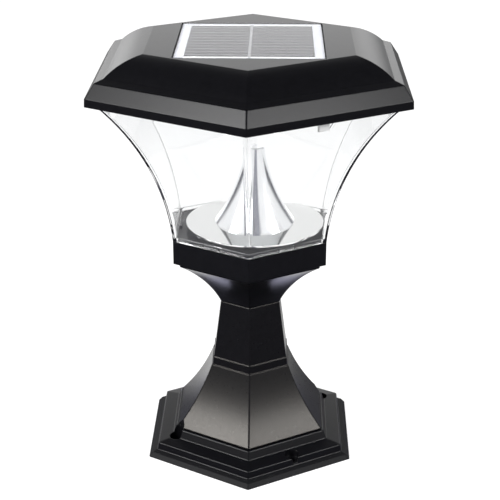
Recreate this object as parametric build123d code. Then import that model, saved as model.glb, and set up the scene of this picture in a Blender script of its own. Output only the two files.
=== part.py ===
from build123d import *
import os
from math import cos, radians

# A solar pillar light: stepped plinth, trumpet column, funnel, collar, clear lens and roof cap.
# Sizes are in millimetres. The origin is the middle of the plinth's underside and +Z is up.
# A corner size runs from the axis to a corner of the six-sided outline, and one corner faces -Y.
# A flat size runs from the axis to the middle of a side.

# Plinth
plinth_corner = 87.0
toe_height = 3.2
toe_draft = 2.8
toe_tread = 4.4
toe_fall = 1.4
kerb_rise = 5.5
kerb_draft = 0.8
main_tread = 12.2
main_fall = 1.6
riser_rise = 6.3
riser_draft = 2.7
step_round = 0.9
plinth_corner_round = 1.6
flange_opening = 34.0
flange_thickness = 3.0

# Walls of the black mouldings
moulding_wall = 2.6

# Fixing holes through the plinth
fixing_count = 4
fixing_first_angle = 30.0
fixing_inset = 23.5
fixing_hole_radius = 3.0
fixing_pocket_radius = 5.5
fixing_floor = 6.0
pocket_wall = 2.0

# Column
column_ledge = 1.6
shadow_gap_height = 1.0
shadow_gap_depth = 1.2
flare_height = 47.0
flare_corner = 33.0
flare_bow = 2.2
ring_band = 6.3
ring_step = 0.55
shaft_corner = 31.3
shaft_height = 44.2
neck_corner = 24.9
neck_bevel = 0.5
column_ridge_round = 1.5
web_thickness = 3.0

# Screws that hold the column to the plinth
column_screw_circle = 43.0
column_post_radius = 4.0
column_post_height = 20.0
column_screw_length = 12.0

# Neck bolt
bolt_radius = 3.0
bolt_head_height = 4.0
bolt_head_corner = 5.7
nut_height = 5.0
washer_thickness = 1.2
bolt_tip = 2.0

# Funnel
funnel_height = 37.9
funnel_lip = 3.5
funnel_corner = 58.0
funnel_bow = 3.2
funnel_ridge_round = 1.2

# Collar
collar_corner = 63.0
collar_height = 17.3
collar_wall = 2.4
collar_floor = 3.0
collar_corner_round = 0.8
lens_rib_height = 2.5
lens_rib_width = 1.8
lens_rib_length = 12.0
seat_height = 0.3
seat_width = 0.8
collar_screw_circle = 40.0
collar_post_radius = 4.0
collar_screw_length = 14.0

# Lens
lens_flare_height = 107.0
lens_mouth_inset = 7.8
lens_bow = 9.4
lens_lip = 5.0
lens_wall = 2.0
lens_foot_height = 2.6
lens_foot_width = 1.2
lens_outer_round = 0.8
lens_inner_round = 5.0
mouth_rib_drop = 7.4
mouth_rib_width = 2.2
mouth_rib_thickness = 0.6
mouth_rib_shift = 6.6

# Reflector, which lies a little to the right on its pad
pad_radius = 26.0
pad_bore = 7.0
pad_thickness = 3.8
disc_thickness = 1.2
disc_play = 3.4
cone_base_radius = 28.1
cone_rim = 0.8
cone_neck_radius = 6.2
cone_neck_height = 57.0
cone_height = 58.3
cone_tip_radius = 5.3
cone_bow = 3.35
cone_wall = 1.2
cone_post_radius = 3.4
cone_screw_length = 11.0

# Roof cap
brim_overlap = 4.5
brim_corner = 125.0
brim_height = 5.4
brim_draft = 0.3
band_rise = 9.7
band_run = 7.3
ledge_run = 7.0
ledge_rise = 2.2
roof_rise = 13.1
roof_corner = 81.5
roof_bow = 2.1
cap_edge_round = 0.9
cap_ridge_round = 1.2
cap_wall = 2.4
cap_screw_circle = 90.0
cap_post_radius = 4.0
cap_screw_length = 9.0

# Solar panel
panel_size = 100.0
panel_side_gap = 0.9
panel_end_gap = 0.35
panel_proud = 0.2
seal_thickness = 0.4
seal_width = 4.0
backsheet_thickness = 1.2
cover_thickness = 1.5
cell_count = 12
cell_side_margin = 6.6
cell_end_margin = 3.6
cell_gap = 0.6
cell_thickness = 0.3
ribbon_width = 2.0
ribbon_thickness = 0.15
cell_headroom = 0.15
cover_bevel = 0.3
lead_hole_radius = 1.2

# Underside plate and gasket
gasket_thickness = 1.2
tongue_count = 3
tongue_first_angle = 60.0
tongue_width = 8.2
tongue_thickness = 2.0
tongue_drop = 5.8
tongue_shift = 3.3
tongue_round = 0.6
plate_thickness = 2.5
plate_clearance = 0.6

# Lamp board
led_board_radius = 24.0
led_board_thickness = 1.6
led_count = 8
led_circle = 14.0
led_length = 3.5
led_width = 2.8
led_thickness = 0.8
led_screw_circle = 20.0

# Battery, its well and its door
battery_radius = 9.2
battery_length = 65.2
battery_offset = 46.0
battery_clearance = 0.5
spring_length = 5.0
spring_wire = 0.5
spring_turns = 3
contact_thickness = 0.5
well_wall = 1.6
well_drop = 4.6
well_rise = 8.0
door_thickness = 2.0
lug_radius = 3.6

# Slide switch
switch_offset = 42.0
switch_length = 14.0
switch_width = 8.0
switch_height = 6.5
switch_travel = 3.0
knob_length = 4.0
knob_width = 3.2
knob_drop = 3.0
knob_grip = 3.5
knob_flange = 1.0

# Control board
board_length = 42.0
board_width = 26.0
board_thickness = 1.6
board_x = -42.0
board_y = -16.0
standoff_height = 4.0
standoff_radius = 3.0

# Small screws and wires
screw_radius = 1.5
screw_head_radius = 3.0
screw_head_height = 2.0
screw_clearance = 0.2
pilot_spare = 1.0
lead_radius = 0.7
lead_bend = 2.0
lead_rise = 4.4
panel_lead_inset = 8.0
panel_lead_spread = 2.4
fit = 0.3

# Shares and angles of the six-sided outline
FLAT = cos(radians(30))
CORNER_ANGLES = [-90, -30, 30, 90, 150, 210]
EVERY_OTHER_CORNER = CORNER_ANGLES[1::2]

# Heights, from the ground up
kerb_foot = toe_height + toe_fall
kerb_top = kerb_foot + kerb_rise
riser_foot = kerb_top + main_fall
plinth_top = riser_foot + riser_rise
ring_low = plinth_top + flare_height
ring_high = ring_low + ring_band
neck = ring_high + shaft_height
collar_base = neck + funnel_height
collar_top = collar_base + collar_height
lens_base = collar_top + seat_height
lens_mouth = lens_base + lens_flare_height
lens_top = lens_mouth + lens_lip
plate_base = lens_top + gasket_thickness
plate_top = plate_base + plate_thickness
brim_base = lens_top - brim_overlap
brim_top = brim_base + brim_height
band_top = brim_top + band_rise
roof_foot = band_top + ledge_rise
roof_top = roof_foot + roof_rise

# Corner sizes, from the plinth inwards
toe_corner = plinth_corner - toe_draft
kerb_foot_corner = toe_corner - toe_tread
kerb_corner = kerb_foot_corner - kerb_draft
riser_foot_corner = kerb_corner - main_tread
riser_corner = riser_foot_corner - riser_draft
column_corner = riser_corner - column_ledge
fixing_circle = plinth_corner - fixing_inset
band_corner = brim_corner - brim_draft
lens_mouth_corner = brim_corner - lens_mouth_inset
ledge_corner = band_corner - band_run
roof_foot_corner = ledge_corner - ledge_run


def flat(corner):
    """Flat size of a six-sided outline, from its corner size."""
    return corner * FLAT


def hex_solid(*outline):
    """Six-sided solid. The outline gives its flat size at each height, from the bottom to the top.

    Three crossing prisms of that outline each shape two opposite sides, and meet in the corners.
    """
    right = Wire([edge for piece in outline for edge in piece.edges()])
    left = mirror(right, about=Plane.YZ)
    bottom = Line(left @ 0, right @ 0)
    top = Line(left @ 1, right @ 1)
    face = make_face([*right.edges(), *left.edges(), bottom, top])
    prism = extrude(Plane.XZ * face, amount=face.bounding_box().size.X, both=True)
    return prism & Rot(0, 0, 60) * prism & Rot(0, 0, 120) * prism


def hex_prism(flat_size, low, high):
    """Upright six-sided prism."""
    return hex_solid(Line((flat_size, low), (flat_size, high)))


def ridges(solid):
    """Edges that run up the corners of a six-sided solid."""
    return [edge for edge in solid.edges() if abs((edge @ 0).Z - (edge @ 1).Z) > 0.01]


def level_edges(solid, height):
    """Edges that run round a six-sided solid at one height."""
    spots = (0, 0.5, 1)
    return [edge for edge in solid.edges() if max(abs((edge @ t).Z - height) for t in spots) < 0.01]


def hex_stack(levels, corner_round):
    """Straight-sided six-sided solid through corner sizes at heights, with rounded corners."""
    rings = []
    for corner, height in levels:
        ring = RegularPolygon(corner, 6, rotation=30)
        rings.append(Pos(0, 0, height) * fillet(ring.vertices(), corner_round))
    solid = loft(rings[:2], ruled=True)
    for low, high in zip(rings[1:], rings[2:]):
        solid += loft([low, high], ruled=True)
    return solid


def inset_arc(arc, depth):
    """The arc moved away from its own centre by a wall's depth."""
    centre = arc.arc_center
    share = (arc.radius + depth) / arc.radius
    start, middle, end = [centre + (arc @ t - centre) * share for t in (0, 0.5, 1)]
    return ThreePointArc(start, middle, end)


def round_bar(radius, low, high):
    """Upright cylinder between two heights on the axis."""
    return Pos(0, 0, low) * Cylinder(radius, high - low, align=(Align.CENTER, Align.CENTER, Align.MIN))


def block(length, width, low, high):
    """Upright box between two heights, centred on the axis."""
    return Pos(0, 0, low) * Box(length, width, high - low, align=(Align.CENTER, Align.CENTER, Align.MIN))


def on_circle(piece, radius, angles):
    """Copies of a piece on a circle, each turned with its angle."""
    return [Rot(0, 0, angle) * Pos(radius, 0, 0) * piece for angle in angles]


def even_angles(count, first):
    """Evenly spread angles."""
    return [first + 360 * index / count for index in range(count)]


def screw(seat, length, upwards=True):
    """Pan-head screw whose head sits on the seat and whose shank runs up or down from it."""
    head = round_bar(screw_head_radius, -screw_head_height, 0)
    head = fillet(head.edges().group_by(Axis.Z)[0], screw_head_height / 2)
    shank = round_bar(screw_radius, 0, length)
    piece = head + chamfer(shank.edges().group_by(Axis.Z)[-1], screw_radius / 2)
    return Pos(0, 0, seat) * (piece if upwards else Rot(180, 0, 0) * piece)


def screw_hole(low, high):
    """Hole that a screw's shank passes through."""
    return round_bar(screw_radius + screw_clearance, low, high)


def lead(*points):
    """Insulated wire along straight runs joined by arcs."""
    path = FilletPolyline(*points, radius=lead_bend)
    return sweep(Plane(path @ 0, z_dir=path % 0) * Circle(lead_radius), path=path)


fixing_angles = even_angles(fixing_count, fixing_first_angle)


def make_plinth():
    steps = [
        (plinth_corner, 0),
        (toe_corner, toe_height),
        (kerb_foot_corner, kerb_foot),
        (kerb_corner, kerb_top),
        (riser_foot_corner, riser_foot),
        (riser_corner, plinth_top),
    ]
    outer = hex_stack(steps, plinth_corner_round)
    for height in (toe_height, kerb_top, plinth_top, kerb_foot, riser_foot):
        outer = fillet(level_edges(outer, height), step_round)
    hollow = hex_prism(flat(toe_corner) - moulding_wall, 0, kerb_foot - moulding_wall)
    hollow += hex_prism(flat(kerb_corner) - moulding_wall, 0, kerb_top - moulding_wall)
    hollow += hex_prism(flat(riser_corner) - moulding_wall, 0, plinth_top - flange_thickness)
    body = outer - hollow - round_bar(flange_opening, 0, plinth_top)
    boss = round_bar(fixing_pocket_radius + pocket_wall, 0, plinth_top)
    for post in on_circle(boss, fixing_circle, fixing_angles):
        body += post & outer
    pocket = round_bar(fixing_pocket_radius, fixing_floor, plinth_top)
    hole = round_bar(fixing_hole_radius, 0, plinth_top)
    for cut in on_circle(pocket + hole, fixing_circle, fixing_angles):
        body -= cut
    for cut in on_circle(screw_hole(0, plinth_top), column_screw_circle, EVERY_OTHER_CORNER):
        body -= cut
    return body


def make_column():
    foot = flat(column_corner)
    flare_start = (foot, plinth_top + shadow_gap_height)
    flare_end = (flat(flare_corner), ring_low)
    flare = SagittaArc(flare_start, flare_end, flare_bow)
    band = Line((flat(flare_corner) - ring_step, ring_low), (flat(shaft_corner) + ring_step, ring_high))
    shaft = Line((flat(shaft_corner), ring_high), (flat(neck_corner), neck))
    outer = hex_prism(foot - shadow_gap_depth, plinth_top, plinth_top + shadow_gap_height)
    for length, bevel in ((flare, ring_step), (band, ring_step), (shaft, neck_bevel)):
        stage = fillet(ridges(hex_solid(length)), column_ridge_round)
        outer += chamfer(stage.edges().group_by(Axis.Z)[-1], bevel)
    inner_flare = inset_arc(flare, moulding_wall)
    inner_top = (flat(neck_corner) - moulding_wall, neck - web_thickness)
    hollow = hex_solid(inner_flare, Line(inner_flare @ 1, inner_top))
    body = outer - hollow
    post_top = plinth_top + column_post_height
    post = round_bar(column_post_radius, plinth_top, post_top)
    pilot = screw_hole(plinth_top, plinth_top + column_screw_length)
    for boss in on_circle(post, column_screw_circle, EVERY_OTHER_CORNER):
        body += boss & outer
    for cut in on_circle(pilot, column_screw_circle, EVERY_OTHER_CORNER):
        body -= cut
    pocket_shell = round_bar(fixing_pocket_radius + pocket_wall, plinth_top, post_top)
    pocket = round_bar(fixing_pocket_radius, plinth_top, post_top)
    for shell in on_circle(pocket_shell, fixing_circle, fixing_angles):
        body += shell & outer
    for cut in on_circle(pocket, fixing_circle, fixing_angles):
        body -= cut
    return body - round_bar(bolt_radius + fit, neck - web_thickness, neck)


def make_funnel():
    start = (flat(neck_corner), neck)
    lip_foot = (flat(funnel_corner), collar_base - funnel_lip)
    floor_under = collar_top - collar_floor
    flare = SagittaArc(start, lip_foot, funnel_bow)
    outer = hex_solid(flare, Line(lip_foot, (flat(funnel_corner), floor_under)))
    outer = fillet(ridges(outer), funnel_ridge_round)
    outer = chamfer(outer.edges().group_by(Axis.Z)[0], neck_bevel)
    inner_flare = inset_arc(flare, moulding_wall)
    inner_lip = flat(funnel_corner) - moulding_wall
    hollow = hex_solid(inner_flare, Polyline(inner_flare @ 1, (inner_lip, floor_under)))
    hollow -= block(2 * funnel_corner, 2 * funnel_corner, neck, neck + web_thickness)
    body = outer - hollow
    post = round_bar(collar_post_radius, neck, floor_under)
    pilot = screw_hole(floor_under - collar_screw_length, floor_under)
    for boss in on_circle(post, collar_screw_circle, EVERY_OTHER_CORNER):
        body += boss & outer
    for cut in on_circle(pilot, collar_screw_circle, EVERY_OTHER_CORNER):
        body -= cut
    return body - round_bar(bolt_radius + fit, neck, neck + web_thickness)


def lens_outline():
    """Outer flare of the lens, from its foot to its mouth."""
    foot = (flat(collar_corner), lens_base)
    mouth = (flat(lens_mouth_corner), lens_mouth)
    return SagittaArc(foot, mouth, lens_bow)


def lens_inside(height):
    """Flat size of the lens's inner face at a height."""
    arc = inset_arc(lens_outline(), lens_wall)
    reach = arc.radius ** 2 - (height - arc.arc_center.Y) ** 2
    return arc.arc_center.X - reach ** 0.5


def make_collar():
    outer = hex_prism(flat(collar_corner), collar_base, collar_top)
    outer = fillet(ridges(outer), collar_corner_round)
    floor_under = collar_top - collar_floor
    body = outer - hex_prism(flat(collar_corner) - collar_wall, collar_base, floor_under)
    foot_flat = lens_inside(lens_base) - lens_foot_width
    seat = hex_prism(foot_flat + fit + seat_width, collar_top, lens_base)
    body += seat - hex_prism(foot_flat + fit, collar_top, lens_base)
    rib_top = collar_top + lens_rib_height
    rib = hex_prism(foot_flat - fit, collar_top, rib_top)
    rib -= hex_prism(foot_flat - fit - lens_rib_width, collar_top, rib_top)
    length = block(2 * collar_corner, lens_rib_length, collar_top, rib_top)
    for span in on_circle(length, 0, even_angles(3, 0)):
        body += rib & span
    for cut in on_circle(screw_hole(floor_under, collar_top), collar_screw_circle, EVERY_OTHER_CORNER):
        body -= cut
    return body


def make_lens():
    flare = lens_outline()
    mouth = flat(lens_mouth_corner)
    outer = fillet(ridges(hex_solid(flare)), lens_outer_round)
    outer += fillet(ridges(hex_prism(mouth, lens_mouth, lens_top)), lens_outer_round)
    inner_flare = inset_arc(flare, lens_wall)
    hollow = fillet(ridges(hex_solid(inner_flare)), lens_inner_round)
    start = inner_flare @ 0
    end = inner_flare @ 1
    for flat_size, low, high in ((start.X, lens_base - lens_wall, start.Y), (end.X, end.Y, lens_top)):
        hollow += fillet(ridges(hex_prism(flat_size, low, high)), lens_inner_round)
    foot_top = lens_base + lens_foot_height
    narrow = hex_prism(lens_inside(lens_base) - lens_foot_width, lens_base, foot_top)
    narrow = fillet(ridges(narrow), lens_inner_round)
    foot_ring = hex_prism(flat(collar_corner), lens_base, foot_top) - narrow
    body = outer - (hollow - foot_ring)
    rib_low = lens_mouth - mouth_rib_drop
    rib = Pos(mouth / 2, mouth_rib_shift, 0) * block(mouth, mouth_rib_width, rib_low, lens_mouth)
    rib &= hex_solid(inset_arc(flare, -mouth_rib_thickness))
    for copy in on_circle(rib - outer, 0, even_angles(tongue_count, tongue_first_angle)):
        body += copy
    return body


def reflector_place():
    """Where the reflector lies: against the right-hand side of the lens."""
    return Pos(disc_play - fit, 0, collar_top + pad_thickness)


def disc_radius():
    """Radius of the mirror disc, smaller than the lens by its play."""
    return lens_inside(collar_top + pad_thickness) - disc_play


def make_pad():
    ring = round_bar(pad_radius, -pad_thickness, 0) - round_bar(pad_bore, -pad_thickness, 0)
    return reflector_place() * ring


def make_disc():
    plate = round_bar(disc_radius(), 0, disc_thickness)
    return reflector_place() * (plate - screw_hole(0, disc_thickness))


def make_cone():
    rim = (cone_base_radius, cone_rim)
    shoulder = (cone_neck_radius, cone_neck_height)
    flare = SagittaArc(rim, shoulder, cone_bow)
    tip = (cone_tip_radius, cone_height)
    crown = TangentArc(shoulder, tip, tangent=flare % 1)
    edges = [
        Line((0, 0), (cone_base_radius, 0)),
        Line((cone_base_radius, 0), rim),
        flare,
        crown,
        Line(tip, (0, cone_height)),
        Line((0, cone_height), (0, 0)),
    ]
    outer = revolve(Plane.XZ * make_face(edges), Axis.Z)
    inner_flare = inset_arc(flare, cone_wall)
    inner_foot = (inner_flare @ 0).X
    inner_top = (inner_flare @ 1).Y
    inside = [
        Line((0, 0), (inner_foot, 0)),
        Line((inner_foot, 0), inner_flare @ 0),
        inner_flare,
        Line(inner_flare @ 1, (0, inner_top)),
        Line((0, inner_top), (0, 0)),
    ]
    hollow = revolve(Plane.XZ * make_face(inside), Axis.Z)
    post = round_bar(cone_post_radius, 0, inner_top)
    pilot = screw_hole(0, cone_screw_length + pilot_spare)
    return reflector_place() * Pos(0, 0, disc_thickness) * (outer - (hollow - post) - pilot)


def make_roof_cap():
    side = [
        (brim_corner, brim_base),
        (band_corner, brim_top),
        (ledge_corner, band_top),
        (roof_foot_corner, roof_foot),
    ]
    outer = hex_stack(side, cap_ridge_round)
    for corner, height in side[1:-1]:
        outer = fillet(level_edges(outer, height), cap_edge_round)
    dome = SagittaArc((flat(roof_foot_corner), roof_foot), (flat(roof_corner), roof_top), -roof_bow)
    outer += fillet(ridges(hex_solid(dome)), cap_ridge_round)
    inner_side = Polyline(
        (flat(brim_corner) - cap_wall, brim_base),
        (flat(band_corner) - cap_wall, brim_top - cap_wall / 2),
        (flat(ledge_corner) - cap_wall, band_top - cap_wall),
        (flat(roof_foot_corner) - cap_wall / 2, roof_foot - cap_wall),
    )
    inner_dome = inset_arc(dome, -cap_wall)
    hollow = hex_solid(inner_side, Line(inner_side @ 1, inner_dome @ 0), inner_dome)
    pocket_floor = roof_top + panel_proud - panel_stack()
    pocket_length = panel_size + 2 * panel_side_gap
    pocket_width = panel_size + 2 * panel_end_gap
    tray = block(pocket_length + 2 * cap_wall, pocket_width + 2 * cap_wall, pocket_floor - cap_wall, roof_top)
    body = outer - (hollow - tray) - block(pocket_length, pocket_width, pocket_floor, roof_top)
    post = round_bar(cap_post_radius, plate_top, roof_top)
    pilot = screw_hole(plate_top, plate_base + cap_screw_length + pilot_spare)
    for boss in on_circle(post, cap_screw_circle, EVERY_OTHER_CORNER):
        body += boss & outer
    for cut in on_circle(pilot, cap_screw_circle, EVERY_OTHER_CORNER):
        body -= cut
    for place in panel_lead_places():
        body -= place * round_bar(lead_hole_radius, pocket_floor - cap_wall, pocket_floor)
    return body


def panel_stack():
    """Height of the seal, back and cover together."""
    return seal_thickness + backsheet_thickness + cover_thickness


def panel_place():
    """The top face of the panel's back sheet."""
    return Pos(0, 0, roof_top + panel_proud - cover_thickness)


def panel_lead_places():
    """Where the two panel wires come through the pocket's floor."""
    middle = panel_lead_inset - panel_size / 2
    return [Pos(middle - panel_lead_spread, 0, 0), Pos(middle + panel_lead_spread, 0, 0)]


def make_panel_seal():
    ring = block(panel_size, panel_size, 0, seal_thickness)
    ring -= block(panel_size - 2 * seal_width, panel_size - 2 * seal_width, 0, seal_thickness)
    return panel_place() * Pos(0, 0, -backsheet_thickness - seal_thickness) * ring


def make_backsheet():
    return panel_place() * block(panel_size, panel_size, -backsheet_thickness, 0)


def cell_area():
    """Length and width of the area that the cells cover."""
    return panel_size - 2 * cell_side_margin, panel_size - 2 * cell_end_margin


def make_cells():
    length, width = cell_area()
    pitch = width / cell_count
    strip = block(length, pitch - cell_gap, 0, cell_thickness)
    rows = [Pos(0, (index - (cell_count - 1) / 2) * pitch, 0) * strip for index in range(cell_count)]
    return [panel_place() * row for row in rows]


def make_ribbon():
    width = cell_area()[1]
    return panel_place() * block(ribbon_width, width, cell_thickness, cell_thickness + ribbon_thickness)


def make_cover():
    length, width = cell_area()
    sheet = block(panel_size, panel_size, 0, cover_thickness)
    sheet = chamfer(sheet.edges().group_by(Axis.Z)[-1], cover_bevel)
    headroom = cell_thickness + ribbon_thickness + cell_headroom
    return panel_place() * (sheet - block(length + cell_gap, width + cell_gap, 0, headroom))


def plate_flat():
    """Flat size of the underside plate, clear of the cap's inner face at the plate's top."""
    slope = (flat(band_corner) - flat(ledge_corner)) / (band_rise - cap_wall / 2)
    rise = plate_top - (brim_top - cap_wall / 2)
    return flat(band_corner) - cap_wall - slope * rise - plate_clearance


def well_size():
    """Inner length and width of the battery well."""
    length = battery_length + spring_length + 2 * contact_thickness
    return length, 2 * (battery_radius + battery_clearance)


def door_screw_places():
    reach = well_size()[0] / 2 + well_wall / 2 + lug_radius
    return [Pos(-reach, battery_offset, 0), Pos(reach, battery_offset, 0)]


def board_screw_places():
    reach = board_length / 2 - standoff_radius
    return [Pos(board_x - reach, board_y, 0), Pos(board_x + reach, board_y, 0)]


def led_lead_places():
    """Where the two lamp wires come up through the plate."""
    return [Pos(-led_circle / 2, -led_circle / 2, 0), Pos(-led_circle / 2, led_circle / 2, 0)]


def make_underside_plate():
    body = hex_prism(plate_flat(), plate_base, plate_top)
    body = fillet(ridges(body), cap_ridge_round)
    length, width = well_size()
    well_low = plate_base - well_drop
    well_high = plate_top + well_rise
    walls = block(length + 2 * well_wall, width + 2 * well_wall, well_low, well_high)
    body += Pos(0, battery_offset, 0) * walls
    body -= Pos(0, battery_offset, 0) * block(length, width, well_low, well_high)
    for place in door_screw_places():
        body += place * round_bar(lug_radius, well_low, plate_top)
        body -= place * screw_hole(well_low, plate_top)
    for place in board_screw_places():
        body += place * round_bar(standoff_radius, plate_top, plate_top + standoff_height)
        body -= place * screw_hole(plate_base, plate_top + standoff_height)
    for cut in on_circle(screw_hole(plate_base, plate_top), cap_screw_circle, EVERY_OTHER_CORNER):
        body -= cut
    for cut in on_circle(screw_hole(plate_base, plate_top), led_screw_circle, EVERY_OTHER_CORNER):
        body -= cut
    for place in led_lead_places():
        body -= place * round_bar(lead_radius + fit, plate_base, plate_top)
    slot = block(knob_length + switch_travel + 2 * fit, knob_width + 2 * fit, plate_base, plate_top)
    return body - Pos(switch_travel / 2, -switch_offset, 0) * slot


def make_gasket():
    """Ring under the plate, with tongues that hang down outside the lens and centre the cap on it."""
    mouth = flat(lens_mouth_corner)
    outer = fillet(ridges(hex_prism(mouth, lens_top, plate_base)), lens_outer_round)
    inner_flat = (inset_arc(lens_outline(), lens_wall) @ 1).X
    hole = fillet(ridges(hex_prism(inner_flat, lens_top, plate_base)), lens_inner_round)
    ring = outer - hole
    low = lens_mouth - tongue_drop
    drop = Pos(fit + tongue_thickness / 2, 0, 0) * block(tongue_thickness, tongue_width, low, plate_base)
    drop = fillet(drop.faces().sort_by(Axis.X)[-1].edges(), tongue_round)
    bridge = block(2 * fit + tongue_thickness, tongue_width, lens_top, plate_base)
    tongue = Pos(0, -tongue_shift, 0) * (drop + bridge)
    for copy in on_circle(tongue, mouth, even_angles(tongue_count, tongue_first_angle)):
        ring += copy
    return ring


def make_led_board():
    board = round_bar(led_board_radius, plate_base - led_board_thickness, plate_base)
    for cut in on_circle(screw_hole(0, plate_base), led_screw_circle, EVERY_OTHER_CORNER):
        board -= cut
    return board


def make_leds():
    face = plate_base - led_board_thickness
    chip = block(led_width, led_length, face - led_thickness, face)
    return on_circle(chip, led_circle, even_angles(led_count, 0))


def make_battery():
    cell = Rot(0, 90, 0) * Cylinder(battery_radius, battery_length)
    return battery_place() * fillet(cell.edges(), battery_clearance)


def battery_place():
    """The battery's middle, pushed against the contact at the left end of its well."""
    low = plate_base - well_drop + battery_clearance
    return Pos(-spring_length / 2, battery_offset, low + battery_radius)


def make_battery_contact():
    width = well_size()[1]
    plate = Box(contact_thickness, width - 2 * battery_clearance, 2 * battery_radius)
    return battery_place() * Pos(-(battery_length + contact_thickness) / 2, 0, 0) * plate


def make_battery_spring():
    width = well_size()[1]
    plate = Box(contact_thickness, width - 2 * battery_clearance, 2 * battery_radius)
    plate = Pos(spring_length + contact_thickness / 2, 0, 0) * plate
    start = spring_wire + fit
    height = spring_length - start
    coil = Helix(pitch=height / spring_turns, height=height, radius=battery_radius / 2)
    wire = sweep(Plane(coil @ 0, z_dir=coil % 0) * Circle(spring_wire), path=coil)
    spring = Pos(start - contact_thickness / 2, 0, 0) * Rot(0, 90, 0) * wire
    return battery_place() * Pos(battery_length / 2, 0, 0) * (plate + spring)


def make_battery_door():
    length, width = well_size()
    high = plate_base - well_drop
    low = high - door_thickness
    end = door_screw_places()[1].position.X + lug_radius
    door = block(2 * end, width + 2 * well_wall, low, high)
    door = fillet(door.edges().filter_by(Axis.Z), lug_radius)
    door = Pos(0, battery_offset, 0) * door
    for place in door_screw_places():
        door -= place * screw_hole(low, high)
    return door


def make_control_board():
    low = plate_top + standoff_height
    board = Pos(board_x, board_y, 0) * block(board_length, board_width, low, low + board_thickness)
    for place in board_screw_places():
        board -= place * screw_hole(low, low + board_thickness)
    return board


def board_top():
    return plate_top + standoff_height + board_thickness


def make_board_components():
    coil_radius = board_width / 6
    chip = block(board_length / 6, board_width / 4, 0, board_thickness)
    coil = round_bar(coil_radius, 0, coil_radius)
    capacitor = round_bar(coil_radius / 2, 0, 2 * coil_radius)
    capacitor = fillet(capacitor.edges().group_by(Axis.Z)[-1], coil_radius / 8)
    middle = Pos(board_x, board_y, board_top())
    return [
        middle * chip,
        middle * Pos(board_length / 4, -board_width / 4, 0) * coil,
        middle * Pos(-board_length / 4, -board_width / 4, 0) * capacitor,
    ]


def board_spot(along, across):
    """A place on the control board, as shares of its half length and half width."""
    return board_x + along * board_length / 2, board_y + across * board_width / 2


def lead_to_board(start, end_spot, run, *turns):
    """Wire that leaves its start, runs level past the turns and drops onto the control board."""
    level = [(x, y, run) for x, y in (*turns, end_spot)]
    return lead(start, *level, (*end_spot, board_top()))


def make_leads():
    """The wires of the panel, battery, lamp and switch: first the positive ones, then the negative ones."""
    run = board_top() + lead_rise
    back = roof_top + panel_proud - cover_thickness - backsheet_thickness
    positive = []
    negative = []
    for group, place, across in ((positive, panel_lead_places()[0], 0.6), (negative, panel_lead_places()[1], 0.6)):
        x = place.position.X
        spot = (x, board_spot(0, across)[1])
        group.append(lead_to_board((x, 0, back), spot, run, (x, 0)))
    cell = battery_place().position
    end = well_size()[0] / 2
    spot = board_spot(-0.3, 0.6)
    positive.append(lead_to_board((-end, cell.Y, run), spot, run, (spot[0], cell.Y)))
    spot = board_spot(0.3, 0.6)
    side = end + well_wall + lug_radius
    clear = battery_offset - well_size()[1] / 2 - well_wall - lug_radius
    negative.append(lead_to_board((end, cell.Y, run), spot, run, (side, cell.Y), (side, clear), (spot[0], clear)))
    for group, place, across in ((positive, led_lead_places()[0], 0.4), (negative, led_lead_places()[1], 0.8)):
        x, y = place.position.X, place.position.Y
        group.append(lead_to_board((x, y, plate_base), board_spot(0.6, across), run, (x, y)))
    top = plate_top + switch_height
    for group, share, along, extra in ((positive, 0, 0.2, 0), (negative, 1, -0.1, 2)):
        x = share * switch_travel
        spot = board_spot(along, -0.8)
        level = run + extra * lead_radius * 2
        group.append(lead_to_board((x, -switch_offset, top), spot, level, (x, -switch_offset), (spot[0], -switch_offset)))
    return positive, negative


def make_switch_body():
    body = block(switch_length, switch_width, plate_top, plate_top + switch_height)
    body = chamfer(body.edges().group_by(Axis.Z)[-1], fit)
    room_length = knob_length + 2 * knob_flange + switch_travel + 2 * fit
    room_width = knob_width + 2 * knob_flange + 2 * fit
    room = block(room_length, room_width, plate_top, plate_top + knob_grip + fit)
    return Pos(switch_travel / 2, -switch_offset, 0) * (body - room)


def make_switch_knob():
    low = plate_base - knob_drop
    knob = block(knob_length, knob_width, low, plate_top + knob_grip)
    knob = fillet(knob.edges().group_by(Axis.Z)[0], knob_width / 6)
    flange_low = plate_top + fit
    flange_length = knob_length + 2 * knob_flange
    flange_width = knob_width + 2 * knob_flange
    knob += block(flange_length, flange_width, flange_low, flange_low + knob_flange)
    return Pos(0, -switch_offset, 0) * knob


def make_neck_bolt():
    low = neck - web_thickness - washer_thickness
    high = neck + web_thickness + washer_thickness + nut_height + bolt_tip
    head = extrude(RegularPolygon(bolt_head_corner, 6), amount=-bolt_head_height)
    return Pos(0, 0, low) * head + round_bar(bolt_radius, low, high)


def make_neck_nut():
    low = neck + web_thickness + washer_thickness
    nut = extrude(RegularPolygon(bolt_head_corner, 6), amount=nut_height)
    return Pos(0, 0, low) * nut - round_bar(bolt_radius + fit / 2, low, low + nut_height)


def make_neck_washers():
    ring = round_bar(2 * bolt_radius, 0, washer_thickness) - round_bar(bolt_radius + fit / 2, 0, washer_thickness)
    return [Pos(0, 0, neck - web_thickness - washer_thickness) * ring, Pos(0, 0, neck + web_thickness) * ring]


def make_column_screws():
    piece = screw(plinth_top - flange_thickness, column_screw_length)
    return on_circle(piece, column_screw_circle, EVERY_OTHER_CORNER)


def make_collar_screws():
    piece = screw(collar_top, collar_screw_length, upwards=False)
    return on_circle(piece, collar_screw_circle, EVERY_OTHER_CORNER)


def make_cap_screws():
    return on_circle(screw(plate_base, cap_screw_length), cap_screw_circle, EVERY_OTHER_CORNER)


def make_led_screws():
    piece = screw(plate_base - led_board_thickness, led_board_thickness + plate_thickness)
    return on_circle(piece, led_screw_circle, EVERY_OTHER_CORNER)


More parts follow.
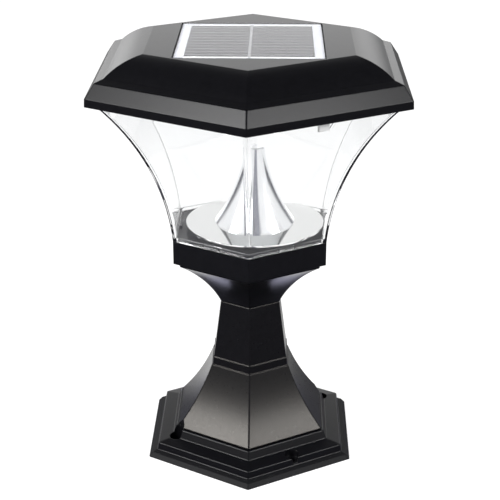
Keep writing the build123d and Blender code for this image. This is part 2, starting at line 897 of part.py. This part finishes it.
def make_door_screws():
    low = plate_base - well_drop - door_thickness
    return [place * screw(low, door_thickness + well_drop) for place in door_screw_places()]


def make_board_screws():
    piece = screw(board_top(), board_thickness + standoff_height, upwards=False)
    return [place * piece for place in board_screw_places()]


def make_cone_screw():
    return reflector_place() * screw(0, cone_screw_length)


positive_leads, negative_leads = make_leads()

parts = {
    "plinth": make_plinth(),
    "column": make_column(),
    "neck_funnel": make_funnel(),
    "collar": make_collar(),
    "lens": make_lens(),
    "reflector_pad": make_pad(),
    "reflector_disc": make_disc(),
    "reflector_cone": make_cone(),
    "cone_screw": make_cone_screw(),
    "neck_bolt": make_neck_bolt(),
    "neck_nut": make_neck_nut(),
    "neck_washers": make_neck_washers(),
    "column_screws": make_column_screws(),
    "collar_screws": make_collar_screws(),
    "roof_cap": make_roof_cap(),
    "panel_seal": make_panel_seal(),
    "panel_backsheet": make_backsheet(),
    "solar_cells": make_cells(),
    "bus_ribbon": make_ribbon(),
    "panel_cover": make_cover(),
    "underside_plate": make_underside_plate(),
    "cap_gasket": make_gasket(),
    "cap_screws": make_cap_screws(),
    "led_board": make_led_board(),
    "led_chips": make_leds(),
    "led_screws": make_led_screws(),
    "battery_cell": make_battery(),
    "battery_contact": make_battery_contact(),
    "battery_spring": make_battery_spring(),
    "battery_door": make_battery_door(),
    "door_screws": make_door_screws(),
    "control_board": make_control_board(),
    "board_components": make_board_components(),
    "board_screws": make_board_screws(),
    "switch_body": make_switch_body(),
    "switch_knob": make_switch_knob(),
    "positive_leads": positive_leads,
    "negative_leads": negative_leads,
}

os.makedirs("parts", exist_ok=True)
for name, piece in parts.items():
    if isinstance(piece, list):
        piece = Compound(children=[solid for item in piece for solid in item.solids()])
    export_step(piece, f"parts/{name}.step")
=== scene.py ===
from math import cos, radians, sin

import bpy
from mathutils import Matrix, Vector

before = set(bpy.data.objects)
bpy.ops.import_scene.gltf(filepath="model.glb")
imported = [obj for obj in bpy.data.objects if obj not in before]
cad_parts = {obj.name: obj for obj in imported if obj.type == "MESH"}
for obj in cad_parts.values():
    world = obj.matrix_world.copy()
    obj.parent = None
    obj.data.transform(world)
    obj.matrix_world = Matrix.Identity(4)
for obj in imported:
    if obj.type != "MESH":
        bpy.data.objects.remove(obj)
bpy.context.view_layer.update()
scene = bpy.context.scene
scene.view_settings.view_transform = "Standard"

MM = 0.001
WHITE = (1.0, 1.0, 1.0)


def grey(level):
    """Neutral colour of one brightness."""
    return (level, level, level)


def rgba(colour):
    """Colour with full alpha, as colour sockets take it."""
    return (*colour, 1.0)


class Tree:
    """Node tree of a material or the world, with short ways to make and join its nodes."""

    EDGE_SAMPLES = 6

    def __init__(self, owner):
        owner.use_nodes = True
        self.tree = owner.node_tree
        self.tree.nodes.clear()

    def node(self, kind, **values):
        """New node, with its settings by name."""
        made = self.tree.nodes.new(kind)
        for key, value in values.items():
            setattr(made, key, value)
        return made

    def link(self, source, target):
        self.tree.links.new(source, target)

    def math(self, operation, first, second=None):
        """Result of a sum on sockets and numbers."""
        made = self.node("ShaderNodeMath", operation=operation)
        for socket, value in zip(made.inputs, (first, second)):
            if isinstance(value, (int, float)):
                socket.default_value = value
            elif value is not None:
                self.link(value, socket)
        return made.outputs[0]

    def ramp(self, factor, stops):
        """Colour that runs through (place, colour) stops."""
        made = self.node("ShaderNodeValToRGB")
        elements = made.color_ramp.elements
        while len(elements) < len(stops):
            elements.new(0.5)
        for element, (place, colour) in zip(elements, stops):
            element.position = place
            element.color = rgba(colour)
        self.link(factor, made.inputs["Fac"])
        return made.outputs["Color"]

    def multiply(self, first, second):
        """Product of two colours."""
        made = self.node("ShaderNodeMix", data_type="RGBA", blend_type="MULTIPLY")
        made.inputs["Factor"].default_value = 1.0
        self.link(first, made.inputs["A"])
        self.link(second, made.inputs["B"])
        return made.outputs["Result"]

    def coordinates(self, kind="Object"):
        return self.node("ShaderNodeTexCoord").outputs[kind]

    def axes(self, kind="Object"):
        """X, Y and Z of a place or direction."""
        split = self.node("ShaderNodeSeparateXYZ")
        self.link(self.coordinates(kind), split.inputs[0])
        return [split.outputs[axis] for axis in "XYZ"]

    def noise(self, scale, detail, roughness=0.5, stretch=None):
        """Noise in the object's own frame, with an optional scale per axis."""
        made = self.node("ShaderNodeTexNoise")
        made.inputs["Scale"].default_value = scale
        made.inputs["Detail"].default_value = detail
        made.inputs["Roughness"].default_value = roughness
        vector = self.coordinates()
        if stretch:
            mapping = self.node("ShaderNodeMapping")
            mapping.inputs["Scale"].default_value = stretch
            self.link(vector, mapping.inputs["Vector"])
            vector = mapping.outputs["Vector"]
        self.link(vector, made.inputs["Vector"])
        return made.outputs["Fac"]

    def bump(self, height, strength, distance, edge=0.0):
        """Surface normal with a relief, over edges that are rounded by a radius."""
        made = self.node("ShaderNodeBump")
        if edge:
            rounded = self.node("ShaderNodeBevel", samples=self.EDGE_SAMPLES)
            rounded.inputs["Radius"].default_value = edge
            self.link(rounded.outputs["Normal"], made.inputs["Normal"])
        made.inputs["Strength"].default_value = strength
        made.inputs["Distance"].default_value = distance
        self.link(height, made.inputs["Height"])
        return made.outputs["Normal"]

    def diffuse(self, level):
        made = self.node("ShaderNodeBsdfDiffuse")
        made.inputs["Color"].default_value = rgba(grey(level))
        return made.outputs[0]

    def background(self, strength=1.0, colour=None):
        """World light, white or of a linked colour."""
        made = self.node("ShaderNodeBackground")
        made.inputs["Color"].default_value = rgba(WHITE)
        made.inputs["Strength"].default_value = strength
        if colour is not None:
            self.link(colour, made.inputs["Color"])
        return made.outputs[0]

    def mix(self, factor, first, second):
        """Shader that goes from the first to the second."""
        made = self.node("ShaderNodeMixShader")
        self.link(factor, made.inputs["Fac"])
        self.link(first, made.inputs[1])
        self.link(second, made.inputs[2])
        return made.outputs[0]

    def output(self, shader, kind="ShaderNodeOutputMaterial"):
        self.link(shader, self.node(kind).inputs["Surface"])


def around(heading, elevation, distance):
    """Offset by a heading from the front, an elevation (both in degrees) and a distance."""
    level = distance * cos(radians(elevation))
    return Vector((
        level * sin(radians(heading)),
        -level * cos(radians(heading)),
        distance * sin(radians(elevation)),
    ))


def add_facing(name, data, place, target):
    """Adds a camera or a lamp that looks at a target."""
    made = bpy.data.objects.new(name, data)
    made.location = place
    made.rotation_euler = (target - place).to_track_quat("-Z", "Y").to_euler()
    scene.collection.objects.link(made)
    return made


# Camera, at the viewing angle of the photograph
CAMERA_HEADING = 1.264
CAMERA_ELEVATION = 22.935
CAMERA_DISTANCE = 0.95005
CAMERA_AIM = Vector((-0.0004, 0.0, 0.1514))
SENSOR = 36.0
LENS = 92.69


def add_camera():
    """Camera looking down on the object from the front."""
    data = bpy.data.cameras.new("camera")
    data.sensor_width = SENSOR
    data.lens = LENS
    away = around(CAMERA_HEADING, CAMERA_ELEVATION, CAMERA_DISTANCE)
    scene.camera = add_facing("camera", data, CAMERA_AIM + away, CAMERA_AIM)


def seen_rays(tree, path):
    """One for rays from the camera, mirror reflections and refractions, which all show the background."""
    seen = tree.math("MAXIMUM", path["Is Camera Ray"], path["Is Glossy Ray"])
    return tree.math("MAXIMUM", seen, path["Is Transmission Ray"])


# Floor: a pale sheet. Mirror reflections show it darker and cool, with a bright strip behind the object.
# Further back the strip is wider to the left, and the floor is neutral.
# Darker floor, strip and cool tint exist only in mirror reflections: painted reflections that darken upright
# faces
# and put a bright, cool sheen on the funnel and the column.
FLOOR_HALF = 6.0
FLOOR_GLOW = 0.80
FLOOR_SHADE = 0.30
FLOOR_BOUNCE = 0.75
FLOOR_MIRRORED = 0.22
FLOOR_STRIP = 1.5
FLOOR_STRIP_HALF = 0.07
FLOOR_STRIP_START = 0.03
FLOOR_PATCH_HALF = 0.05
FLOOR_PATCH_START = 0.11
FLOOR_NEAR_SHEEN_TINT = (0.92, 0.92, 1.20)


def floor_mirrored(tree):
    """The floor in mirror reflections, with a glowing strip and a cool tint that paint a sheen on what
    mirrors them.
    """
    x, y, _ = tree.axes()
    # The strip glows only in mirror reflections: a painted highlight on the parts that face it.
    within = tree.math("LESS_THAN", tree.math("ABSOLUTE", x), FLOOR_STRIP_HALF)
    from_patch = tree.math("ABSOLUTE", tree.math("ADD", x, FLOOR_STRIP_HALF))
    beside = tree.math("LESS_THAN", from_patch, FLOOR_PATCH_HALF)
    far = tree.math("GREATER_THAN", y, FLOOR_PATCH_START)
    wide = tree.math("MAXIMUM", within, tree.math("MULTIPLY", beside, far))
    strip = tree.math("MULTIPLY", wide, tree.math("GREATER_THAN", y, FLOOR_STRIP_START))
    strength = tree.math("ADD", tree.math("MULTIPLY", strip, FLOOR_STRIP), FLOOR_MIRRORED)
    made = tree.node("ShaderNodeEmission")
    tree.link(tree.ramp(far, [(0.0, FLOOR_NEAR_SHEEN_TINT), (1.0, WHITE)]), made.inputs["Color"])
    tree.link(strength, made.inputs["Strength"])
    return made.outputs[0]


def floor_direct(tree):
    """The floor as the camera sees it: nearly white by itself, with the object's shadow."""
    glow = tree.node("ShaderNodeEmission")
    glow.inputs["Strength"].default_value = FLOOR_GLOW
    made = tree.node("ShaderNodeAddShader")
    tree.link(glow.outputs[0], made.inputs[0])
    tree.link(tree.diffuse(FLOOR_SHADE), made.inputs[1])
    return made.outputs[0]


def add_floor():
    """Plain pale floor."""
    mesh = bpy.data.meshes.new("floor")
    corners = [(x * FLOOR_HALF, y * FLOOR_HALF, 0.0) for x, y in ((-1, -1), (1, -1), (1, 1), (-1, 1))]
    mesh.from_pydata(corners, [], [(0, 1, 2, 3)])
    floor = bpy.data.objects.new("floor", mesh)
    scene.collection.objects.link(floor)
    material = bpy.data.materials.new("floor")
    mesh.materials.append(material)
    tree = Tree(material)
    path = tree.node("ShaderNodeLightPath").outputs
    reflected = tree.math("GREATER_THAN", path["Is Glossy Ray"], path["Is Transmission Ray"])
    shown = tree.mix(reflected, floor_direct(tree), floor_mirrored(tree))
    tree.output(tree.mix(seen_rays(tree, path), tree.diffuse(FLOOR_BOUNCE), shown))


# Surroundings in mirror reflections, by the parts of a direction of length one
AMBIENT = 0.30
CEILING_START = 0.42
CEILING_FULL = 0.62
CEILING_LEAN = 0.45
CEILING_SHADE = (0.06, 0.06, 0.065)
CEILING_TOP = (0.04, 0.04, 0.04)
SLOT_HALF = 0.20
SLOT_END = 0.28
SLOT_SHADE = (0.23, 0.23, 0.28)
HORIZON_FULL = 0.08
HORIZON_END = 0.18
HORIZON_DROP = 0.125
HORIZON_LEFT_END = 0.05
HORIZON_OPEN_HALF = 0.5
HORIZON_SHADE = (0.09, 0.09, 0.11)


def ceiling(tree, y, z):
    """Dark overhead, from higher up towards the front."""
    lean = tree.math("MULTIPLY", tree.math("MINIMUM", y, 0.0), CEILING_LEAN)
    height = tree.math("ADD", z, lean)
    return tree.ramp(height, [(CEILING_START, WHITE), (CEILING_FULL, CEILING_SHADE), (1.0, CEILING_TOP)])


def front_slot(tree, x, behind):
    """Dark upright slot in front."""
    sideways = tree.math("ADD", tree.math("ABSOLUTE", x), behind)
    return tree.ramp(sideways, [(SLOT_HALF, SLOT_SHADE), (SLOT_END, WHITE)])


def low_horizon(tree, x, z, behind, refracted):
    """Dark band low behind: at both sides through the lens, and lower and at the right alone elsewhere."""
    left_open = tree.math("SUBTRACT", tree.math("LESS_THAN", x, HORIZON_LEFT_END), refracted)
    middle = tree.math("LESS_THAN", tree.math("ABSOLUTE", x), HORIZON_OPEN_HALF)
    middle_open = tree.math("MULTIPLY", middle, refracted)
    bright = tree.math("SUBTRACT", 1.0, behind)
    for opened in (left_open, middle_open):
        bright = tree.math("MAXIMUM", bright, opened)
    drop = tree.math("MULTIPLY", tree.math("SUBTRACT", 1.0, refracted), HORIZON_DROP)
    height = tree.math("ADD", tree.math("ADD", z, bright), drop)
    return tree.ramp(height, [(HORIZON_FULL, HORIZON_SHADE), (HORIZON_END, WHITE)])


def add_surroundings():
    """World that is white to the camera, shaded in mirror reflections and soft light to the rest."""
    scene.world = bpy.data.worlds.new("studio")
    tree = Tree(scene.world)
    path = tree.node("ShaderNodeLightPath").outputs
    x, y, z = tree.axes("Generated")
    behind = tree.math("GREATER_THAN", y, 0.0)
    shade = tree.multiply(ceiling(tree, y, z), front_slot(tree, x, behind))
    shade = tree.multiply(shade, low_horizon(tree, x, z, behind, path["Is Transmission Ray"]))
    mirrored = tree.background(colour=shade)
    shown = tree.mix(seen_rays(tree, path), tree.background(AMBIENT), mirrored)
    shown = tree.mix(path["Is Camera Ray"], shown, tree.background())
    tree.output(shown, "ShaderNodeOutputWorld")


# Lamps: a tall soft box at each side, and three faint ones behind for the rims.
# The power of a box is its radiance times its area times this.
POWER_OF_RADIANCE = 4.0
LAMP_AIM = Vector((0.0, 0.0, 0.15))
SIDE_LAMP_HEADING = 62.0
SIDE_LAMP_ELEVATION = 33.0
SIDE_LAMP_DISTANCE = 2.4
SIDE_LAMP_SIZE = (0.50, 0.90)
LEFT_LAMP_RADIANCE = 38.0
RIGHT_LAMP_RADIANCE = 25.0
BACK_LAMP_PLACE = Vector((0.0, 1.8, 0.65))
BACK_LAMP_SIZE = (2.6, 0.32)
BACK_LAMP_RADIANCE = 0.95
LEFT_RIM_PLACE = Vector((-1.0, 1.9, 0.32))
LEFT_RIM_SIZE = (0.9, 0.5)
LEFT_RIM_RADIANCE = 0.95
RIGHT_RIM_PLACE = Vector((0.7, 1.9, 0.55))
RIGHT_RIM_SIZE = (0.7, 0.36)
RIGHT_RIM_RADIANCE = 0.42


def add_lamp(name, place, size, radiance):
    """Soft box of a given brightness, turned to the object."""
    width, height = size
    data = bpy.data.lights.new(name, "AREA")
    data.shape = "RECTANGLE"
    data.size = width
    data.size_y = height
    data.energy = POWER_OF_RADIANCE * radiance * width * height
    lamp = add_facing(name, data, place, LAMP_AIM)
    lamp.visible_camera = False


def add_lamps():
    """All soft boxes."""
    sides = (("lamp_left", -1, LEFT_LAMP_RADIANCE), ("lamp_right", 1, RIGHT_LAMP_RADIANCE))
    for name, side, radiance in sides:
        offset = around(side * SIDE_LAMP_HEADING, SIDE_LAMP_ELEVATION, SIDE_LAMP_DISTANCE)
        add_lamp(name, LAMP_AIM + offset, SIDE_LAMP_SIZE, radiance)
    add_lamp("lamp_back", BACK_LAMP_PLACE, BACK_LAMP_SIZE, BACK_LAMP_RADIANCE)
    add_lamp("lamp_rim_left", LEFT_RIM_PLACE, LEFT_RIM_SIZE, LEFT_RIM_RADIANCE)
    add_lamp("lamp_rim_right", RIGHT_RIM_PLACE, RIGHT_RIM_SIZE, RIGHT_RIM_RADIANCE)


# Opaque surfaces: patches of colour and of gloss measured in grains, and the span of the noise that shows
COLOUR_PATCH = 12
GLOSS_PATCH = 5
NOISE_LOW = 0.3
NOISE_HIGH = 0.7
SCUFFED_ROUGHNESS = 0.6


def surface(name, colour, roughness, metallic=0.0, specular=0.5, gloss_tint=WHITE, spread=0.15,
            rough_spread=0.06, grain=500.0, bump=0.05, depth=0.05 * MM, stretch=None, edge=0.0,
            dull_below=0.0):
    """Opaque procedural material: fine colour drift, uneven gloss and a moulding grain.

    Below the height dull_below the surface is scuffed."""
    material = bpy.data.materials.new(name)
    tree = Tree(material)
    shader = tree.node("ShaderNodeBsdfPrincipled")
    shader.inputs["Metallic"].default_value = metallic
    shader.inputs["Specular IOR Level"].default_value = specular
    shader.inputs["Specular Tint"].default_value = rgba(gloss_tint)
    dark, light = (tuple(part * share for part in colour) for share in (1 - spread, 1 + spread))
    drift = tree.noise(grain / COLOUR_PATCH, detail=4.0, roughness=0.6, stretch=stretch)
    tree.link(tree.ramp(drift, [(NOISE_LOW, dark), (NOISE_HIGH, light)]), shader.inputs["Base Color"])
    glossy, dull = grey(roughness - rough_spread), grey(roughness + rough_spread)
    patches = tree.noise(grain / GLOSS_PATCH, detail=3.0, roughness=0.55, stretch=stretch)
    rough = tree.ramp(patches, [(NOISE_LOW, glossy), (NOISE_HIGH, dull)])
    if dull_below:
        low = tree.math("LESS_THAN", tree.axes()[2], dull_below)
        rough = tree.math("MAXIMUM", rough, tree.math("MULTIPLY", low, SCUFFED_ROUGHNESS))
    tree.link(rough, shader.inputs["Roughness"])
    relief = tree.noise(grain, detail=2.0, stretch=stretch)
    tree.link(tree.bump(relief, bump, depth, edge), shader.inputs["Normal"])
    tree.output(shader.outputs[0])
    return material


# Clear mouldings
SMUDGE_SCALE = 60.0
SMUDGE_LOW = 0.35
SMUDGE_HIGH = 0.75
WAVE_SCALE = 35.0
WAVE_DEPTH = 0.2 * MM
CLEAR_SHADOW = (0.94, 0.95, 0.95)
LENS_IOR = 1.49
COVER_IOR = 1.071


def clear_plastic(name, tint, roughness, wave, ior):
    """Clear moulded plastic with a slight waviness. Shadow rays pass, so that what is inside stays lit."""
    material = bpy.data.materials.new(name)
    tree = Tree(material)
    shader = tree.node("ShaderNodeBsdfPrincipled")
    shader.inputs["Base Color"].default_value = rgba(tint)
    shader.inputs["IOR"].default_value = ior
    shader.inputs["Transmission Weight"].default_value = 1.0
    smudge = tree.noise(SMUDGE_SCALE, detail=4.0)
    rough = tree.ramp(smudge, [(SMUDGE_LOW, grey(0.0)), (SMUDGE_HIGH, grey(roughness))])
    tree.link(rough, shader.inputs["Roughness"])
    waves = tree.noise(WAVE_SCALE, detail=1.0)
    tree.link(tree.bump(waves, wave, WAVE_DEPTH), shader.inputs["Normal"])
    passing = tree.node("ShaderNodeBsdfTransparent")
    passing.inputs["Color"].default_value = rgba(CLEAR_SHADOW)
    shadow = tree.node("ShaderNodeLightPath").outputs["Is Shadow Ray"]
    tree.output(tree.mix(shadow, shader.outputs[0], passing.outputs[0]))
    return material


# Solar cells: strips of dark silicon along X, with contact lines printed along their edges.
# A line reaches this far from the middle of a gap, and the border starts this far from the panel's middle.
CELL_PITCH = 92.8 / 12 * MM
CELL_LINE_REACH = 0.75 * MM
CELL_BORDER_START = 44.4 * MM
CELL_SCALE = 75.0
CELL_SPECULAR = 0.02
CELL_ROUGHNESS = 0.5
SILICON_DARK = (0.005, 0.005, 0.007)
SILICON_LIGHT = (0.010, 0.010, 0.013)
CONTACT_COLOUR = (0.16, 0.16, 0.17)
BORDER_COLOUR = (0.70, 0.70, 0.72)


def cells():
    """Dark silicon strips with pale contact lines along their edges, and a white border at both ends."""
    material = bpy.data.materials.new("cell_silicon")
    tree = Tree(material)
    shader = tree.node("ShaderNodeBsdfPrincipled")
    shader.inputs["Specular IOR Level"].default_value = CELL_SPECULAR
    shader.inputs["Roughness"].default_value = CELL_ROUGHNESS
    drift = tree.noise(CELL_SCALE, detail=4.0, roughness=0.6)
    colour = tree.ramp(drift, [(NOISE_LOW, SILICON_DARK), (NOISE_HIGH, SILICON_LIGHT)])
    _, y, _ = tree.axes()
    row = tree.math("ADD", tree.math("MULTIPLY", y, 1.0 / CELL_PITCH), 0.5)
    from_gap = tree.math("ABSOLUTE", tree.math("SUBTRACT", tree.math("FRACT", row), 0.5))
    line = tree.math("LESS_THAN", from_gap, CELL_LINE_REACH / CELL_PITCH)
    border = tree.math("GREATER_THAN", tree.math("ABSOLUTE", y), CELL_BORDER_START)
    for factor, ink in ((line, CONTACT_COLOUR), (border, BORDER_COLOUR)):
        printed = tree.node("ShaderNodeMix", data_type="RGBA")
        tree.link(factor, printed.inputs["Factor"])
        tree.link(colour, printed.inputs["A"])
        printed.inputs["B"].default_value = rgba(ink)
        colour = printed.outputs["Result"]
    tree.link(colour, shader.inputs["Base Color"])
    tree.output(shader.outputs[0])
    return material


def paint(material, *nodes):
    """Gives CAD nodes a material."""
    for name in nodes:
        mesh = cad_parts[name].data
        if not mesh.materials:
            mesh.materials.append(material)
        for index in range(len(mesh.materials)):
            mesh.materials[index] = material


# Black mouldings
BLACK = (0.004, 0.004, 0.005)
BLACK_GRAIN = 2600.0
# Warm tint on the column's reflections: a painted warm sheen that stands in for warm side light.
COLUMN_WARM_SHEEN = (1.0, 0.955, 0.89)
SCUFFED_HEIGHT = 4.4 * MM


def black_plastic(name, roughness=0.29, specular=0.15, rough_spread=0.006, bump=0.04, edge=0.7 * MM,
                  **finish):
    """Finely grained black moulding with softened edges."""
    return surface(name, BLACK, roughness, specular=specular, rough_spread=rough_spread, grain=BLACK_GRAIN,
                   bump=bump, edge=edge, **finish)


def paint_mouldings():
    """Roof, collar, funnel, column and plinth."""
    roof = black_plastic("roof_plastic", roughness=0.28, specular=0.108, bump=0.01, edge=0.75 * MM)
    body = black_plastic("body_plastic")
    # The column's reflections carry a painted warm sheen.
    column = black_plastic("column_plastic", specular=0.152, rough_spread=0.02, gloss_tint=COLUMN_WARM_SHEEN)
    foot = black_plastic("plinth_plastic", dull_below=SCUFFED_HEIGHT)
    paint(roof, "roof_cap")
    paint(body, "neck_funnel", "collar")
    paint(column, "column")
    paint(foot, "plinth")


def paint_lantern():
    """Lens, reflector and the seal and pad that hold them."""
    lens = clear_plastic("lens_clear", (0.985, 0.99, 0.99), roughness=0.02, wave=0.02, ior=LENS_IOR)
    disc = surface("mirror_disc", (0.88, 0.88, 0.875), roughness=0.05, metallic=1.0, spread=0.01,
                   rough_spread=0.02, grain=200.0, bump=0.01)
    cone = surface("chrome_cone", (0.93, 0.935, 0.95), roughness=0.12, metallic=1.0, spread=0.02,
                   rough_spread=0.03, grain=300.0, bump=0.02, stretch=(6.0, 6.0, 0.4))
    foam = surface("foam", (0.012, 0.012, 0.012), roughness=0.9, grain=2000.0, bump=0.6, depth=0.2 * MM)
    silicone = surface("gasket_silicone", (0.60, 0.60, 0.60), roughness=0.5, spread=0.04, grain=700.0)
    paint(lens, "lens")
    paint(disc, "reflector_disc")
    paint(cone, "reflector_cone")
    paint(foam, "reflector_pad")
    paint(silicone, "cap_gasket")


def paint_panel():
    """Solar panel in the roof."""
    cover = clear_plastic("panel_clear", (0.99, 0.99, 0.995), roughness=0.03, wave=0.003, ior=COVER_IOR)
    back = surface("panel_white", (0.70, 0.70, 0.725), roughness=0.45, specular=0.3, spread=0.03, grain=840.0)
    ribbon = surface("ribbon_metal", (0.17, 0.17, 0.18), roughness=0.5, specular=0.1, spread=0.5,
                     grain=6000.0)
    rubber = surface("seal_rubber", (0.015, 0.015, 0.015), roughness=0.7, grain=900.0, bump=0.2)
    paint(cover, "panel_cover")
    paint(back, "panel_backsheet")
    paint(cells(), "solar_cells")
    paint(ribbon, "bus_ribbon")
    paint(rubber, "panel_seal")


def paint_cap_inside():
    """Underside plate, lamp, control board, battery, switch and leads."""
    plate = surface("plate_plastic", (0.80, 0.81, 0.81), roughness=0.4, spread=0.02, grain=1200.0)
    lamp_board = surface("lamp_board", (0.82, 0.83, 0.82), roughness=0.35, spread=0.03, grain=900.0)
    phosphor = surface("led_phosphor", (0.80, 0.68, 0.22), roughness=0.3, spread=0.08, grain=2500.0)
    board = surface("board_green", (0.02, 0.14, 0.06), roughness=0.35, spread=0.2, grain=900.0)
    black = surface("component_black", (0.015, 0.015, 0.016), roughness=0.45, grain=1500.0, bump=0.15)
    wrap = surface("battery_wrap", (0.03, 0.12, 0.30), roughness=0.3, spread=0.1, grain=400.0)
    contact = surface("contact_metal", (0.66, 0.66, 0.68), roughness=0.3, metallic=1.0, spread=0.05,
                      grain=900.0)
    red = surface("lead_red", (0.35, 0.015, 0.015), roughness=0.45, grain=1500.0)
    dark = surface("lead_black", (0.012, 0.012, 0.012), roughness=0.45, grain=1500.0)
    paint(plate, "underside_plate", "battery_door")
    paint(lamp_board, "led_board")
    paint(phosphor, "led_chips")
    paint(board, "control_board")
    paint(black, "board_components", "switch_body", "switch_knob")
    paint(wrap, "battery_cell")
    paint(contact, "battery_contact", "battery_spring")
    paint(red, "positive_leads")
    paint(dark, "negative_leads")


def paint_fasteners():
    """Screws, bolt, nut and washers."""
    steel = surface("steel", (0.60, 0.61, 0.63), roughness=0.33, metallic=1.0, spread=0.06, grain=900.0,
                    bump=0.08)
    paint(steel, "cone_screw", "neck_bolt", "neck_nut", "neck_washers", "column_screws", "collar_screws",
          "cap_screws", "led_screws", "door_screws", "board_screws")


add_camera()
add_floor()
add_surroundings()
add_lamps()
paint_mouldings()
paint_lantern()
paint_panel()
paint_cap_inside()
paint_fasteners()
